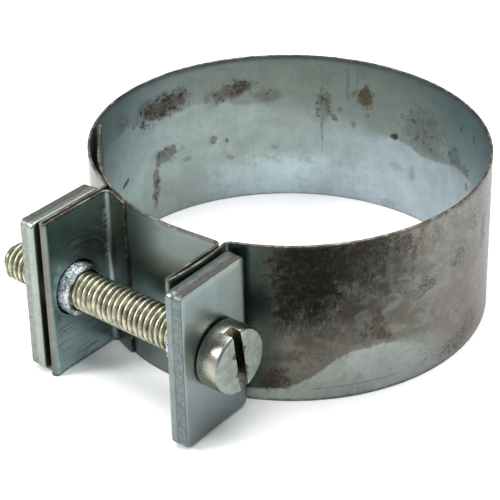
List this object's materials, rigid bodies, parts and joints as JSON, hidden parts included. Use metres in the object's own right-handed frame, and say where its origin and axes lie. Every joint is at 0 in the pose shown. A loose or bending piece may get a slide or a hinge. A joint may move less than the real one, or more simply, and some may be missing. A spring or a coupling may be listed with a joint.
{
  "type": "pipe repair clamp",
  "caption": "Single-bolt pipe repair clamp: a folded steel strip forms the ring, its lapping tongue and two ears, drawn together by a slotted screw and a threaded plate.",
  "frame": {"origin": "on the pipe's axis, half way up the band", "axes": "+Z along the pipe; the ears point towards -Y; the screw lies along X with its head on the +X side"},
  "size_m": [0.062, 0.0725, 0.026],
  "materials": {
    "zinc_strip": "satin blue-passivated zinc, mottled and scuffed",
    "zinc_plate": "satin zinc with sheared brown-grey edges",
    "yellow_zinc_screw": "worn yellow-passivated zinc"
  },
  "bodies": {
    "band": {"band_strip": "zinc_strip", "head_plate": "zinc_plate"},
    "screw": {"clamp_screw": "yellow_zinc_screw"},
    "nut": {"nut_plate": "zinc_plate"}
  },
  "joints": [
    {"name": "screw_turn", "type": "hinge", "parent": "band", "child": "screw", "pos_m": [0.0145, -0.03465, 0], "axis": [-1, 0, 0], "range_deg": [-2880, 4320]},
    {"name": "nut_travel", "type": "slide", "parent": "band", "child": "nut", "axis": [1, 0, 0], "range_m": [-0.008, 0.012], "deforming": ["band_strip"]}
  ],
  "couplings": [
    {"joint": "nut_travel", "follows": "screw_turn", "m_per_rad": 0.00015915}
  ]
}
